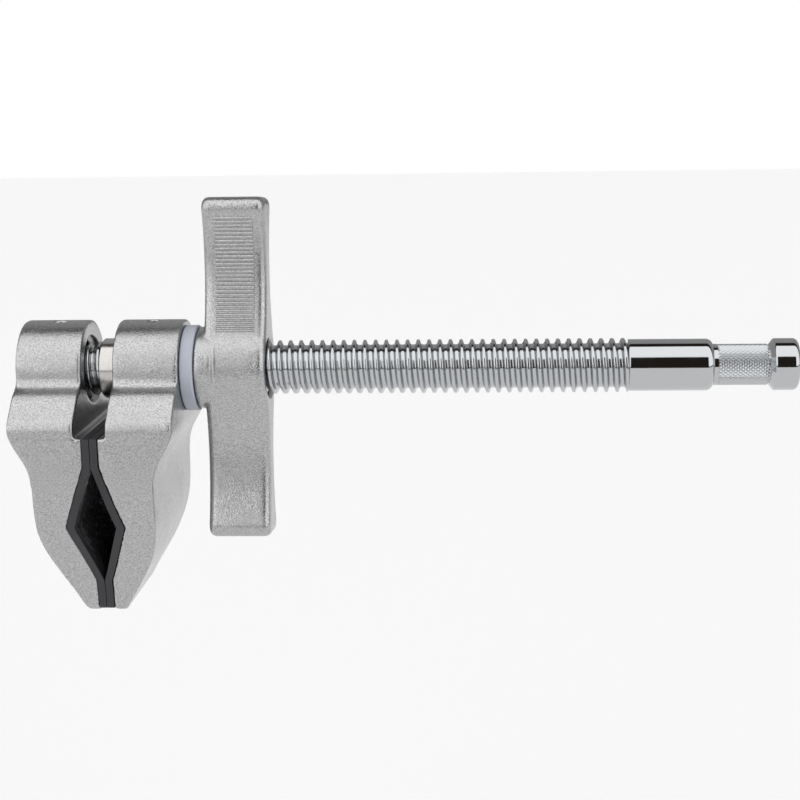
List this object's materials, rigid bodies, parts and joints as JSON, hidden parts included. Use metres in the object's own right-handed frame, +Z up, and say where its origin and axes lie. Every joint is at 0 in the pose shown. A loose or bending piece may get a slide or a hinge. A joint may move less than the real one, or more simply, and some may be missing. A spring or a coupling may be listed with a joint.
{
  "type": "end-jaw screw clamp",
  "caption": "Screw clamp with padded V-jaws at one end of a threaded rod, a wing handle that closes them, and a knurled-neck mounting stud at the other end.",
  "frame": {"origin": "on the rod's axis at the face where the stud's neck meets the shoulder, inside the stud's span", "axes": "+X along the rod towards the stud's end, +Z up with the jaws hanging down, +Y across the jaws"},
  "size_m": [0.2374, 0.0554, 0.1258],
  "materials": {
    "cast_aluminium": "tumbled casting, satin",
    "chrome_steel": "chrome plated",
    "steel": "turned and polished",
    "rubber": "moulded, ribbed",
    "nylon": "natural, translucent"
  },
  "bodies": {
    "rod": {"threaded_rod": "chrome_steel", "fixed_jaw": "cast_aluminium", "fixed_jaw_pad": "rubber", "fixed_jaw_pin": "steel"},
    "sliding_jaw": {"sliding_jaw": "cast_aluminium", "sliding_jaw_pad": "rubber", "sliding_jaw_screw": "steel"},
    "washer": {"thrust_washer": "nylon"},
    "handle": {"handle": "cast_aluminium", "threaded_sleeve": "steel"}
  },
  "joints": [
    {"name": "jaw_slide", "type": "slide", "parent": "rod", "child": "sliding_jaw", "axis": [1, 0, 0], "range_m": [0, 0.1056]},
    {"name": "handle_turn", "type": "hinge", "parent": "sliding_jaw", "child": "handle", "pos_m": [-0.1466, 0, 0], "axis": [1, 0, 0], "range_deg": [0, 11520.5]},
    {"name": "washer_spin", "type": "hinge", "parent": "sliding_jaw", "child": "washer", "pos_m": [-0.16, 0, 0], "axis": [1, 0, 0], "continuous": true}
  ],
  "couplings": [
    {"joint": "handle_turn", "follows": "jaw_slide", "rad_per_m": 1904}
  ]
}
